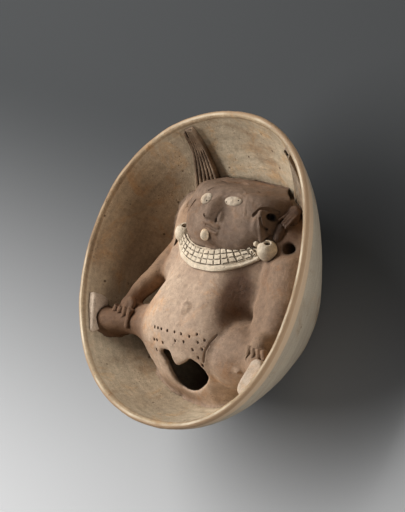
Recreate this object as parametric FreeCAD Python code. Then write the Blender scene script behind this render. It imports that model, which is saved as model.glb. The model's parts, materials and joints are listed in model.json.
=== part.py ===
import FreeCAD
import Part
import math
import os

from FreeCAD import Vector

# A hand-built clay bowl with a reclining figure inside, in millimetres.
# The origin is the middle of the flat base. +Z is up, +Y runs to the figure's head,
# and +X is the figure's own left.

# Bowl sizes
rim_radius = 145.0
base_radius = 69.0
bowl_height = 97.0
wall_thickness = 6.0
floor_thickness = 9.0
heel_round = 3.0
rim_offset = 15.0
rim_coil_radius = 3.4
rim_coil_seat = 1.6

# The flare follows base + (rim - base) * (a u + b u^2 + c u^3), where u is the height share
flare_shares = (1.30, 0.10, -0.40)
wall_height_shares = (0.0, 0.09, 0.22, 0.38, 0.55, 0.72, 0.87, 1.0)
# The thumbed, uneven rim: number of lobes, share of the radius, and direction of one lobe in degrees
lobe_shares = ((2, 0.008, -30.0), (3, 0.016, 65.0), (4, 0.014, 54.0))
ring_points = 16
arch_points = 24
limb_points = 12
pebble_tilts = (-70, -42, -14, 14, 42, 70)
edge_tolerance = 0.5
clearing = 300.0

# Figure sizes that are set by themselves
torso_wall = 7.0
head_wall = 6.0
band_thickness = 2.4
tab_rise = 1.2
vent_radius = 5.0
ear_hole_radius = 2.8
puncture_radius = 1.2
spool_radius = 9.5
spool_hole_radius = 2.6
spool_wall = 3.0
navel_radius = 6.5
navel_rise = 1.6
ankle_mark_radius = 4.2
ankle_mark_rise = 1.4
lock_thickness = 5.0
groove_width = 2.0
groove_depth = 2.6
groove_count = 5

# Body of the figure, hollow, as cross-sections along the bowl: (length, left half width, right half
# width, top, shoulder half width, shoulder top). Tops are shares of the bowl height, the rest of the
# rim radius. A section is the smooth outer line of two rounded arches, the trunk and the shoulders.
trunk_bulge = 2.8
shoulder_bulge = 2.3
arch_blend = 9.0
torso_station_shares = (
    (-0.800, 0.205, 0.230, 0.400, 0.100, 0.200), (-0.715, 0.280, 0.350, 0.535, 0.100, 0.200),
    (-0.620, 0.345, 0.480, 0.700, 0.150, 0.300), (-0.515, 0.390, 0.570, 0.855, 0.200, 0.300),
    (-0.415, 0.410, 0.600, 0.950, 0.300, 0.400), (-0.315, 0.410, 0.570, 0.970, 0.430, 0.450),
    (-0.205, 0.350, 0.525, 0.950, 0.600, 0.580), (-0.085, 0.310, 0.475, 0.895, 0.735, 0.670),
    (0.035, 0.310, 0.425, 0.845, 0.740, 0.710), (0.150, 0.335, 0.395, 0.800, 0.740, 0.755),
    (0.275, 0.340, 0.340, 0.740, 0.765, 0.775), (0.385, 0.300, 0.300, 0.660, 0.770, 0.735),
    (0.485, 0.250, 0.250, 0.560, 0.715, 0.600), (0.565, 0.200, 0.200, 0.420, 0.620, 0.440),
)
head_bulge = 3.4
muzzle_bulge = 2.2
# The head likewise: (length, left half width, right half width, top, muzzle half width, muzzle top)
head_station_shares = (
    (0.140, 0.170, 0.190, 0.790, 0.080, 0.700), (0.180, 0.300, 0.305, 0.885, 0.120, 0.870),
    (0.250, 0.370, 0.360, 0.920, 0.150, 0.935), (0.330, 0.400, 0.380, 0.920, 0.140, 0.925),
    (0.415, 0.405, 0.385, 0.905, 0.090, 0.860), (0.505, 0.400, 0.380, 0.875, 0.050, 0.700),
    (0.560, 0.390, 0.370, 0.710, 0.050, 0.550), (0.600, 0.370, 0.350, 0.565, 0.050, 0.480),
    (0.620, 0.325, 0.310, 0.480, 0.040, 0.460),
)
arch_foot_share = 0.10
head_foot_share = 0.45

# Limbs as (x, y, z, radius) shares, for the figure's left and right
leg_shares = {
    "left": (
        (0.190, -0.405, 0.46, 0.235), (0.370, -0.405, 0.53, 0.205), (0.520, -0.400, 0.60, 0.155),
        (0.640, -0.430, 0.68, 0.108), (0.720, -0.475, 0.73, 0.088), (0.790, -0.500, 0.75, 0.082),
    ),
    "right": (
        (-0.190, -0.405, 0.43, 0.225), (-0.340, -0.400, 0.53, 0.190), (-0.480, -0.385, 0.62, 0.130),
        (-0.600, -0.395, 0.68, 0.090), (-0.700, -0.430, 0.73, 0.080), (-0.820, -0.440, 0.77, 0.078),
    ),
}
arm_shares = {
    "left": (
        (0.540, 0.170, 0.50, 0.165), (0.605, 0.035, 0.54, 0.165), (0.640, -0.085, 0.57, 0.150),
        (0.655, -0.195, 0.62, 0.122), (0.662, -0.290, 0.69, 0.086), (0.660, -0.345, 0.74, 0.070),
    ),
    "right": (
        (-0.530, 0.290, 0.42, 0.060), (-0.560, 0.170, 0.45, 0.110), (-0.600, 0.040, 0.50, 0.110),
        (-0.635, -0.100, 0.57, 0.084), (-0.650, -0.215, 0.66, 0.062), (-0.640, -0.295, 0.725, 0.052),
    ),
}
# Hands: a palm on the shin and four fingers over it
palm_shares = {"left": (0.660, -0.335, 0.80), "right": (-0.620, -0.320, 0.785)}
palm_size_shares = (0.062, 0.060, 0.032)
finger_root_shares = {"left": (0.668, -0.350, 0.835), "right": (-0.620, -0.340, 0.820)}
finger_length_share = 0.110
finger_radius_share = 0.021
finger_pitch_share = 0.043
finger_turns = {"left": 6.0, "right": -22.0}
finger_count = 4
finger_fan = 7.0
finger_dip = 16.0

# Feet: thick pads against the wall, as (x, y, top, length, width, height) and their turn
foot_shares = {
    "left": (0.745, -0.535, 0.925, 0.245, 0.120, 0.240),
    "right": (-0.845, -0.440, 0.935, 0.270, 0.100, 0.250),
}
foot_round_share = 0.42
foot_edge_share = 0.15
foot_turns = {"left": -17.0, "right": 19.0}

# Head details; places are (x, y) on the surface below unless they carry a height
nose_shares = (
    (0.000, 0.480, 0.880, 0.022), (0.000, 0.425, 0.918, 0.034), (0.000, 0.360, 0.955, 0.049),
    (0.000, 0.312, 0.945, 0.050),
)
eye_shares = {"left": (0.117, 0.440), "right": (-0.124, 0.428)}
eye_size_shares = (0.072, 0.030, 0.019)
lips_shares = (0.000, 0.272)
lips_size_shares = (0.072, 0.028, 0.026)
labret_shares = (0.000, 0.215)
labret_size_shares = (0.030, 0.039, 0.034)
ear_shares = {"left": (0.350, 0.370, 0.760), "right": (-0.366, 0.370, 0.695)}
ear_size_shares = (0.034, 0.094, 0.085)
ear_lean = 28.0
ear_hole_shares = {"left": (0.420, 0.765), "right": (0.420, 0.722)}
spool_shares = {"left": (0.405, 0.225, 0.715), "right": (-0.365, 0.195, 0.715)}
spool_hole_turns = (28.0, -30.0)

# Body details
vent_shares = ((0.520, 0.270), (-0.490, 0.140))
navel_shares = (0.020, -0.240)
ankle_mark_shares = (0.490, -0.505)
puncture_shares = (
    (-0.195, -0.405), (-0.160, -0.405), (-0.125, -0.405), (-0.065, -0.405), (0.005, -0.400),
    (0.065, -0.400), (0.135, -0.400), (0.185, -0.375), (-0.210, -0.475), (-0.180, -0.475),
    (-0.120, -0.480), (0.010, -0.450), (0.090, -0.440), (0.195, -0.420), (0.235, -0.395),
    (-0.215, -0.530), (0.155, -0.470), (0.220, -0.450), (0.185, -0.505), (0.200, -0.540),
    (0.190, -0.580),
)

# The opening between the legs, drawn on a plane that leans back: its middle, then its outline
opening_centre_shares = (0.0, -0.630, 0.700)
opening_lean = 37.0
opening_shares = (
    (-0.175, 0.120), (-0.125, 0.145), (-0.055, 0.150), (0.030, 0.145), (0.110, 0.130),
    (0.155, 0.105), (0.190, 0.060), (0.195, 0.005), (0.140, -0.055), (0.050, -0.105),
    (-0.025, -0.115), (-0.110, -0.080), (-0.145, 0.010), (-0.165, 0.070),
)
# The front tab hangs over it from its upper edge
tab_shares = (
    (-0.080, 0.200), (-0.070, 0.145), (-0.060, 0.055), (-0.035, 0.050), (0.060, 0.100),
    (0.115, 0.140), (0.120, 0.200),
)

# The collar of beads, seen from above: its inner and outer lines
band_inner_shares = (
    (-0.345, 0.215), (-0.315, 0.150), (-0.240, 0.120), (-0.145, 0.095), (-0.065, 0.085),
    (0.035, 0.095), (0.135, 0.125), (0.215, 0.165), (0.300, 0.215),
)
band_outer_shares = (
    (0.385, 0.195), (0.355, 0.155), (0.270, 0.095), (0.185, 0.045), (0.110, 0.015),
    (0.015, 0.005), (-0.080, 0.005), (-0.170, 0.025), (-0.270, 0.055), (-0.350, 0.100), (-0.410, 0.165),
)

# The hair locks up the wall, seen from above: the four corners of each
lock_shares = {
    "left": ((0.400, 0.585), (0.545, 0.470), (0.505, 0.860), (0.455, 0.860)),
    "right": ((-0.385, 0.585), (-0.520, 0.470), (-0.470, 0.860), (-0.425, 0.860)),
}
lock_foot_share = 0.47


def place(x_share, y_share, z_share):
    """A point given in shares of the bowl, seen from the middle of the mouth."""
    return Vector(x_share * rim_radius, rim_offset + y_share * rim_radius, z_share * bowl_height)


def wall_radius(height):
    """Mean outside radius of the wall at a height."""
    u = height / bowl_height
    a, b, c = flare_shares
    return base_radius + (rim_radius - base_radius) * (a * u + b * u**2 + c * u**3)


def lobe_factor(angle, height):
    """How far the thumbed wall stands off its mean radius, growing from the base to the rim."""
    u = max(height / bowl_height, 0)
    off = sum(share * math.cos(count * (angle - math.radians(turn))) for count, share, turn in lobe_shares)
    return 1 + u * off


def ring_wire(height, inset):
    """One closed level line of the wall, drawn in by inset."""
    points = []
    for i in range(ring_points):
        angle = 2 * math.pi * i / ring_points
        r = wall_radius(height) * lobe_factor(angle, height) - inset
        centre_y = rim_offset * height / bowl_height
        points.append(Vector(r * math.cos(angle), centre_y + r * math.sin(angle), height))
    return closed_wire(points)


def ring_loft(low, inset):
    """A solid through level lines of the wall, from a level up to the rim."""
    heights = [low + share * (bowl_height - low) for share in wall_height_shares]
    return Part.makeLoft([ring_wire(h, inset) for h in heights], True, False)


def layer(low, high):
    """A flat block past the whole bowl, between two levels."""
    corner = Vector(-clearing, -clearing, low)
    return Part.makeBox(2 * clearing, 2 * clearing, high - low, corner)


def largest(shape):
    """The main solid of a cut, without the crumbs."""
    solids = sorted(shape.Solids, key=lambda s: s.Volume)
    return solids[-1]


def closed_wire(points):
    """A smooth closed line through points."""
    curve = Part.BSplineCurve()
    curve.interpolate(points, PeriodicFlag=True)
    return Part.Wire([curve.toShape()])


def pebble(centre, half_x, half_y, half_z):
    """A rounded lump with three half sizes and small flats above and below."""
    wires = []
    for tilt in pebble_tilts:
        level = math.radians(tilt)
        points = []
        for j in range(limb_points):
            angle = 2 * math.pi * j / limb_points
            x, y = half_x * math.cos(angle), half_y * math.sin(angle)
            point = Vector(x * math.cos(level), y * math.cos(level), half_z * math.sin(level))
            points.append(centre + point)
        wires.append(closed_wire(points))
    return Part.makeLoft(wires, True, False)


def arch_reach(angle, half, rise, bulge):
    """Distance from the foot of a rounded arch to its line, in one direction."""
    return (abs(math.cos(angle) / half) ** bulge + abs(math.sin(angle) / rise) ** bulge) ** (-1 / bulge)


def arch_wire(y_share, foot_share, arches, grow):
    """One cross-section of the figure: the smooth outer line of rounded arches on one foot."""
    foot = foot_share * bowl_height
    points = []
    for i in range(arch_points):
        angle = 2 * math.pi * i / arch_points
        reach = 0
        for left_share, right_share, top_share, bulge in arches:
            half = (left_share if math.cos(angle) > 0 else right_share) * rim_radius
            rise = top_share * bowl_height - foot
            reach += max(arch_reach(angle, half, rise, bulge), 0) ** arch_blend
        reach = reach ** (1 / arch_blend) + grow
        x, z = reach * math.cos(angle), foot + reach * math.sin(angle)
        points.append(Vector(x, rim_offset + y_share * rim_radius, z))
    return closed_wire(points)


def torso_loft(stations, grow=0.0):
    """The trunk and shoulders in one skin, grown or shrunk all round."""
    wires = []
    for y, left, right, top, shoulder, shoulder_top in stations:
        arches = ((left, right, top, trunk_bulge), (shoulder, shoulder, shoulder_top, shoulder_bulge))
        wires.append(arch_wire(y, arch_foot_share, arches, grow))
    return Part.makeLoft(wires, True, False)


def head_loft(stations, grow=0.0):
    """The boxy head and its muzzle in one skin, grown or shrunk all round."""
    wires = []
    for y, left, right, top, muzzle, muzzle_top in stations:
        arches = ((left, right, top, head_bulge), (muzzle, muzzle, muzzle_top, muzzle_bulge))
        wires.append(arch_wire(y, head_foot_share, arches, grow))
    return Part.makeLoft(wires, True, False)


def limb(stations):
    """A tapering limb through round sections, all started from the same side."""
    places = [place(x, y, z) for x, y, z, r in stations]
    wires = []
    for i, centre in enumerate(places):
        before, after = places[max(i - 1, 0)], places[min(i + 1, len(places) - 1)]
        way = (after - before).normalize()
        across = way.cross(Vector(0, 0, 1)).normalize()
        up = across.cross(way)
        radius = stations[i][3] * rim_radius
        points = []
        for j in range(limb_points):
            angle = 2 * math.pi * j / limb_points
            points.append(centre + across * radius * math.cos(angle) + up * radius * math.sin(angle))
        wires.append(closed_wire(points))
    return Part.makeLoft(wires, True, False)


# The bowl itself
def seat_height():
    """The level at which the rim coil sits on the wall."""
    return bowl_height - rim_coil_radius - rim_coil_seat


def make_bowl():
    """Base slab, wall, rim coil and the room inside the wall."""
    seat = seat_height()
    outside = ring_loft(0, 0)
    room = ring_loft(floor_thickness, wall_thickness)
    slab = outside.common(layer(0, floor_thickness))
    wall = outside.common(layer(floor_thickness, seat)).cut(room)
    heel = [e for e in slab.Edges if abs(e.BoundBox.ZMax) < edge_tolerance]
    slab = slab.makeFillet(heel_round, heel)
    return {"base_slab": largest(slab), "bowl_wall": largest(wall), "rim_coil": make_rim_coil(seat)}, room


def make_rim_coil(seat):
    """The last coil of clay, rounded over the top of the wall."""
    path = ring_wire(seat + rim_coil_seat, wall_thickness / 2)
    start = path.Edges[0].valueAt(path.Edges[0].FirstParameter)
    direction = path.Edges[0].tangentAt(path.Edges[0].FirstParameter)
    circle = Part.Wire([Part.makeCircle(rim_coil_radius, start, direction)])
    coil = path.makePipeShell([circle], True, True)
    return largest(coil.common(layer(seat, 2 * bowl_height)))


def top_of(shape, x_share, y_share):
    """The point of a shape's upper surface above a place, felt with a thin pin."""
    low = place(x_share, y_share, 0)
    pin = Part.makeCylinder(puncture_radius, 2 * bowl_height, low).common(shape)
    return Vector(low.x, low.y, max(vertex.Z for vertex in pin.Vertexes))


def outline_prism(shares, smooth):
    """A tall upright block over an outline given in shares of the rim radius, about the origin."""
    points = [Vector(x * rim_radius, y * rim_radius, 0) for x, y in shares]
    wire = closed_wire(points) if smooth else Part.makePolygon(points + points[:1])
    return Part.Face(wire).extrude(Vector(0, 0, 2 * bowl_height))


# The figure's hollow bodies
def opening_block(shares, smooth):
    """A block standing on the leaning plane of the opening."""
    block = outline_prism(shares, smooth)
    block.translate(Vector(0, 0, -torso_wall - torso_wall))
    block.rotate(Vector(0, 0, 0), Vector(1, 0, 0), opening_lean)
    block.translate(place(*opening_centre_shares))
    return block


def drill(place_shares, radius):
    """An upright hole through the top of the hollow body only."""
    start = place(place_shares[0], place_shares[1], arch_foot_share)
    start.z += torso_wall + torso_wall
    return Part.makeCylinder(radius, 2 * bowl_height, start)


def make_torso(room):
    """Hollow trunk and shoulders, and the same form filled in."""
    filled = largest(torso_loft(torso_station_shares).common(room))
    hollow = torso_loft(torso_station_shares[1:-1], -torso_wall)
    torso = filled.cut(hollow).cut(opening_block(opening_shares, True))
    for vent in vent_shares:
        torso = torso.cut(drill(vent, vent_radius))
    torso = torso.cut(Part.makeCompound([drill(hole, puncture_radius) for hole in puncture_shares]))
    return largest(torso), filled


def make_tab(room):
    """The front tab, a raised tongue of the same skin inside the opening."""
    skin = torso_loft(torso_station_shares, tab_rise).common(room)
    skin = skin.cut(torso_loft(torso_station_shares[1:-1], -torso_wall))
    tab = skin.common(opening_block(opening_shares, True))
    return largest(tab.common(opening_block(tab_shares, False)))


def make_head(room, torso_filled):
    """Hollow head seated on the shoulders and the wall."""
    filled = largest(head_loft(head_station_shares).common(room).cut(torso_filled))
    head = filled.cut(head_loft(head_station_shares[1:-1], -head_wall))
    for name in ear_shares:
        head = head.cut(ear_bore(name))
    return largest(head), filled


def ear_bore(name):
    """The hole through an ear and the side of the head."""
    start = place(0, *ear_hole_shares[name])
    way = Vector(1 if name == "left" else -1, 0, 0)
    return Part.makeCylinder(ear_hole_radius, rim_radius, start, way)


# Ears, ear spools and the features of the face
def make_ear(name, head_filled, torso_filled):
    """An oval ear leaning off the head, bored through."""
    half_x, half_y, half_z = (share * rim_radius for share in ear_size_shares)
    ear = pebble(Vector(0, 0, 0), half_x, half_y, half_z)
    ear.rotate(Vector(0, 0, 0), Vector(0, 1, 0), -ear_lean if name == "left" else ear_lean)
    ear.translate(place(*ear_shares[name]))
    return largest(ear.cut(head_filled).cut(torso_filled).cut(ear_bore(name)))


def make_spool(name, others):
    """A hollow ball with two small holes."""
    centre = place(*spool_shares[name])
    spool = Part.makeSphere(spool_radius, centre)
    for other in others:
        spool = spool.cut(other)
    spool = spool.cut(Part.makeSphere(spool_radius - spool_wall, centre))
    for turn in spool_hole_turns:
        way = Vector(math.sin(math.radians(turn)), 1, math.cos(math.radians(turn)))
        spool = spool.cut(Part.makeCylinder(spool_hole_radius, 2 * spool_radius, centre, way))
    return largest(spool)


def make_pellet(carrier, place_shares, size_shares):
    """A pat of clay laid on a surface."""
    half_x, half_y, half_z = (share * rim_radius for share in size_shares)
    pellet = pebble(top_of(carrier, *place_shares), half_x, half_y, half_z)
    return largest(pellet.cut(carrier))


def make_button(carrier, place_shares, radius, rise):
    """A low round pat of clay."""
    button = pebble(top_of(carrier, *place_shares), radius, radius, rise)
    return largest(button.cut(carrier))


def make_band(room, others):
    """The beaded collar laid on the chest."""
    outline = band_inner_shares + band_outer_shares
    block = outline_prism(outline, True)
    block.translate(Vector(0, rim_offset, 0))
    band = torso_loft(torso_station_shares, band_thickness).common(block).common(room)
    for other in others:
        band = band.cut(other)
    return largest(band)


# Limbs
def make_limbs(room, torso_filled, head_filled):
    """Legs, arms, feet and hands for both sides, each cut back to what carries it."""
    made = {}
    for name in ("left", "right"):
        leg = largest(limb(leg_shares[name]).common(room).cut(torso_filled))
        arm = limb(arm_shares[name]).common(room).cut(torso_filled).cut(head_filled)
        arm = largest(arm.cut(leg))
        for vent in vent_shares:
            arm = arm.cut(drill(vent, vent_radius))
        foot = largest(foot_pad(name).common(room).cut(leg))
        hand = hand_solid(name).common(room)
        for other in (arm, leg, torso_filled, foot):
            hand = hand.cut(other)
        made[name + "_leg"] = leg
        made[name + "_arm"] = largest(arm)
        made[name + "_foot"] = foot
        made[name + "_hand"] = largest(hand)
    return made


def foot_pad(name):
    """A rounded slab on edge, its broad top turned to the mouth."""
    x, y, top, *sizes = foot_shares[name]
    length, width, height = (share * rim_radius for share in sizes)
    pad = Part.makeBox(width, length, height, Vector(-width / 2, -length / 2, -height))
    upright = [e for e in pad.Edges if abs(e.BoundBox.ZLength - height) < edge_tolerance]
    pad = pad.makeFillet(width * foot_round_share, upright)
    upper = [e for e in pad.Edges if e.BoundBox.ZMin > -edge_tolerance]
    pad = pad.makeFillet(width * foot_edge_share, upper)
    pad.rotate(Vector(0, 0, 0), Vector(0, 0, 1), foot_turns[name])
    pad.translate(place(x, y, top))
    return pad


def hand_solid(name):
    """A small palm with four fingers laid on the shin."""
    half_x, half_y, half_z = (share * rim_radius for share in palm_size_shares)
    hand = pebble(place(*palm_shares[name]), half_x, half_y, half_z)
    radius = finger_radius_share * rim_radius
    length = finger_length_share * rim_radius
    root = place(*finger_root_shares[name])
    for i in range(finger_count):
        spread = i - (finger_count - 1) / 2
        turn = math.radians(finger_turns[name] + spread * finger_fan)
        start = root + Vector(spread * finger_pitch_share * rim_radius, 0, 0)
        way = Vector(math.sin(turn), -math.cos(turn), -math.sin(math.radians(finger_dip)))
        finger = Part.makeCylinder(radius, length, start, way)
        tip = Part.makeSphere(radius, start + way.normalize() * length)
        hand = hand.fuse([finger, tip])
    return hand


# Hair
def make_lock(name, others):
    """A strip of clay up the wall, with dark grooves drawn along it."""
    corners = [Vector(x, y, 0) for x, y in lock_shares[name]]
    block = outline_prism([(c.x, c.y) for c in corners], False)
    block.translate(place(0, 0, lock_foot_share))
    strip = ring_loft(floor_thickness, wall_thickness).common(block)
    strip = strip.cut(ring_loft(floor_thickness, wall_thickness + lock_thickness))
    core = ring_loft(floor_thickness, wall_thickness + lock_thickness - groove_depth)
    for i in range(groove_count):
        share = (i + 1) / (groove_count + 1)
        low = corners[0] + (corners[1] - corners[0]) * share
        high = corners[3] + (corners[2] - corners[3]) * share
        low, high = low - (high - low), high + (high - low)
        across = (high - low).cross(Vector(0, 0, 1)).normalize() * groove_width / 2 / rim_radius
        line = [low + across, high + across, high - across, low - across]
        cutter = outline_prism([(c.x, c.y) for c in line], False)
        cutter.translate(place(0, 0, 0))
        strip = strip.cut(core.common(cutter))
    for other in others:
        strip = strip.cut(other)
    return largest(strip.common(layer(0, seat_height())))


def main():
    os.makedirs("parts", exist_ok=True)
    parts, room = make_bowl()
    parts["torso"], torso_filled = make_torso(room)
    parts["front_tab"] = make_tab(room)
    parts["head"], head_filled = make_head(room, torso_filled)
    parts.update(make_limbs(room, torso_filled, head_filled))
    parts["nose"] = largest(limb(nose_shares).cut(head_filled))
    parts["lips"] = make_pellet(head_filled, lips_shares, lips_size_shares)
    parts["labret"] = largest(make_pellet(head_filled, labret_shares, labret_size_shares).cut(parts["lips"]))
    parts["navel"] = make_button(torso_filled, navel_shares, navel_radius, navel_rise)
    mark = make_button(parts["left_leg"], ankle_mark_shares, ankle_mark_radius, ankle_mark_rise)
    parts["ankle_mark"] = largest(mark.cut(parts["left_foot"]).cut(parts["left_hand"]))
    bodies = [head_filled, torso_filled]
    for name in ("left", "right"):
        parts[name + "_eye"] = make_pellet(head_filled, eye_shares[name], eye_size_shares)
        ear = make_ear(name, head_filled, torso_filled)
        parts[name + "_ear"] = ear
        parts[name + "_ear_spool"] = make_spool(name, bodies + [ear])
        parts[name + "_hair_lock"] = make_lock(name, bodies)
    balls = [Part.makeSphere(spool_radius, place(*spool_shares[name])) for name in spool_shares]
    parts["bead_collar"] = make_band(room, bodies + balls)
    for name, shape in parts.items():
        print(name, shape.isValid(), round(shape.Volume), len(shape.Solids))
        shape.exportStep(os.path.join("parts", name + ".step"))


main()
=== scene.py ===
import json
import math
import random

import bmesh
import bpy
from mathutils import Matrix, Vector
from mathutils.bvhtree import BVHTree

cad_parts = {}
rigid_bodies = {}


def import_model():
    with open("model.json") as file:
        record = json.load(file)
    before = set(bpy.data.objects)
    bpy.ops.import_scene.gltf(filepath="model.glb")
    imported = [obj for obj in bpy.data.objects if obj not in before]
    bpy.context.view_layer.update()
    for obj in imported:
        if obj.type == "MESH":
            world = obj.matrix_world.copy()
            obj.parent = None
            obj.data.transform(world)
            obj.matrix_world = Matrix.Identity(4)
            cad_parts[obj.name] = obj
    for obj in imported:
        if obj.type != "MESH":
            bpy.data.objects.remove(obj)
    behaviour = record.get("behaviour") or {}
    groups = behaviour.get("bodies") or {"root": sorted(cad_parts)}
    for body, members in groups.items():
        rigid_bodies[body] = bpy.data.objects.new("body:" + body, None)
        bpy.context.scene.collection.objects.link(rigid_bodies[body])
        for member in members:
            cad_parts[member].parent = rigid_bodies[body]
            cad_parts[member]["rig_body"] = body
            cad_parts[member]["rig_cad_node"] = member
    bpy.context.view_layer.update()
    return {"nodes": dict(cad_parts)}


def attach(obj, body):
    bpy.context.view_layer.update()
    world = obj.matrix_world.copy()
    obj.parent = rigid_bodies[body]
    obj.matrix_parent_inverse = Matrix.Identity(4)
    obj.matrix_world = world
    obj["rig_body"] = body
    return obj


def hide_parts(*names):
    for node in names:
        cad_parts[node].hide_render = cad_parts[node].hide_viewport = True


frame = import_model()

nodes = frame["nodes"]
random.seed(7)

# The bowl's leading sizes, in metres
bowl = {"rimRadius": 0.145, "height": 0.097, "rimOffset": 0.015, "floor": 0.009, "seat": 0.092}
sight = Vector((0.7599, -0.0269, 0.6495))  # from the bowl to the viewer


def spot(x, y, z=0.0):
    # a place in shares of the bowl, seen from the middle of the mouth
    return Vector((x * bowl["rimRadius"], bowl["rimOffset"] + y * bowl["rimRadius"], z * bowl["height"]))


# Handling of pieces
def selectOnly(*pieces):
    bpy.ops.object.select_all(action="DESELECT")
    for piece in pieces:
        piece.select_set(True)
    bpy.context.view_layer.objects.active = pieces[0]


def inEditMode(piece, work):
    selectOnly(piece)
    bpy.ops.object.mode_set(mode="EDIT")
    bpy.ops.mesh.select_all(action="SELECT")
    work()
    bpy.ops.object.mode_set(mode="OBJECT")


def finishWith(piece, kind, **settings):
    selectOnly(piece)
    modifier = piece.modifiers.new(kind, kind)
    for name, value in settings.items():
        setattr(modifier, name, value)
    bpy.ops.object.modifier_apply(modifier=modifier.name)


def copyOf(source, name, plain=False):
    piece = source.copy()
    piece.data = source.data.copy()
    piece.name = name
    piece.data.name = name
    piece.parent = None
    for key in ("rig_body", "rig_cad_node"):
        if key in piece:
            del piece[key]
    piece.data.materials.clear()
    bpy.context.scene.collection.objects.link(piece)
    if not plain:
        inEditMode(piece, lambda: bpy.ops.mesh.remove_doubles(threshold=0.00001))
    return piece


def nodeCopies(*names):
    return [copyOf(nodes[name], "lump_" + name) for name in names]


def joined(pieces, name):
    selectOnly(*pieces)
    if len(pieces) > 1:
        bpy.ops.object.join()
    piece = bpy.context.view_layer.objects.active
    piece.name = name
    return piece


def worked(piece, voxel, rounds, factor=0.5):
    # knead a union of lumps into one skin
    finishWith(piece, "REMESH", mode="VOXEL", voxel_size=voxel, use_smooth_shade=True)
    if rounds:
        finishWith(piece, "SMOOTH", factor=factor, iterations=rounds)
    return piece


def roughen(piece, strength, size):
    # the small unevenness of a hand-made surface
    clouds = bpy.data.textures.new(piece.name + "Uneven", "CLOUDS")
    clouds.noise_scale = size
    clouds.noise_depth = 3
    finishWith(piece, "DISPLACE", texture=clouds, strength=strength, mid_level=0.5, texture_coords="LOCAL")


def cutAway(piece, cutter, keep=False):
    finishWith(piece, "BOOLEAN", operation="DIFFERENCE", solver="MANIFOLD", object=cutter)
    if not keep:
        bpy.data.objects.remove(cutter)


def mainLump(piece):
    # after a cut, keep the lump that holds the most clay, and not the skin left outside the bowl
    name = piece.name
    inEditMode(piece, lambda: bpy.ops.mesh.separate(type="LOOSE"))
    parts = []
    for part in list(bpy.context.selected_objects):
        mesh = bmesh.new()
        mesh.from_mesh(part.data)
        under = min(vertex.co.z for vertex in mesh.verts) < bowl["floor"] / 2
        parts.append((0 if under else mesh.calc_volume(), part))
        mesh.free()
    parts.sort(key=lambda entry: entry[0])
    best = parts.pop()[1]
    for size, part in parts:
        bpy.data.objects.remove(part)
    best.name = name
    return best


def lump(at, size, turn=(0, 0, 0)):
    bpy.ops.object.select_all(action="DESELECT")
    bpy.ops.mesh.primitive_uv_sphere_add(segments=28, ring_count=18, radius=1, location=at, scale=size,
                                         rotation=[math.radians(angle) for angle in turn])
    bpy.ops.object.transform_apply(location=True, rotation=True, scale=True)
    return bpy.context.object


def roll(start, end, radius, endRadius=None):
    # a tapering roll of clay between two places
    way = end - start
    bpy.ops.object.select_all(action="DESELECT")
    bpy.ops.mesh.primitive_cone_add(vertices=20, radius1=radius, radius2=endRadius or radius,
                                    depth=way.length, location=(start + end) / 2,
                                    rotation=way.to_track_quat("Z", "Y").to_euler())
    bpy.ops.object.transform_apply(location=True, rotation=True, scale=True)
    return bpy.context.object


def feelerOf(piece):
    return BVHTree.FromObject(piece, bpy.context.evaluated_depsgraph_get())


def onTop(feeler, x, y):
    # the place and normal of the upper surface at a place given in shares
    above = spot(x, y)
    above.z = 0.2
    place, normal, index, distance = feeler.ray_cast(above, Vector((0, 0, -1)))
    return place, normal


def rope(feeler, path, radius, rise=0.0):
    # rolls and balls laid along a path on a surface
    lumps = []
    places = []
    for x, y in path:
        place, normal = onTop(feeler, x, y)
        if place:
            places.append(place + normal * rise)
    for start, end in zip(places, places[1:]):
        lumps.append(roll(start, end, radius))
    for place in places:
        lumps.append(lump(place, (radius, radius, radius)))
    return lumps


def knife(pieces, voxel=0.0005):
    # several cutters made one closed form
    return worked(joined(pieces, "knife"), voxel, 0)


# The bowl: base, wall and rim as one skin, parted later at their joins
bowlSkin = {"voxel": 0.0016, "rounds": 3, "uneven": 0.0014, "unevenSize": 0.035}


def makeShell():
    shell = joined(nodeCopies("base_slab", "bowl_wall", "rim_coil"), "shell")
    worked(shell, bowlSkin["voxel"], bowlSkin["rounds"])
    roughen(shell, bowlSkin["uneven"], bowlSkin["unevenSize"])
    return shell


def slab(piece, name, low, high):
    part = copyOf(piece, name, plain=True)
    if low is not None:
        inEditMode(part, lambda: bpy.ops.mesh.bisect(plane_co=(0, 0, low), plane_no=(0, 0, 1),
                                                     use_fill=True, clear_inner=True))
    if high is not None:
        inEditMode(part, lambda: bpy.ops.mesh.bisect(plane_co=(0, 0, high), plane_no=(0, 0, 1),
                                                     use_fill=True, clear_outer=True))
    selectOnly(part)
    bpy.ops.object.shade_smooth_by_angle(angle=math.radians(50))
    return part


def underBowl():
    # the bowl a hair lower and wider, so that the figure's edges run out over the real wall
    under = joined(nodeCopies("base_slab", "bowl_wall"), "under")
    under.scale = (1.004, 1.004, 1)
    under.location = (0, 0, -0.0005)
    selectOnly(under)
    bpy.ops.object.transform_apply(location=True, rotation=True, scale=True)
    return under


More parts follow.
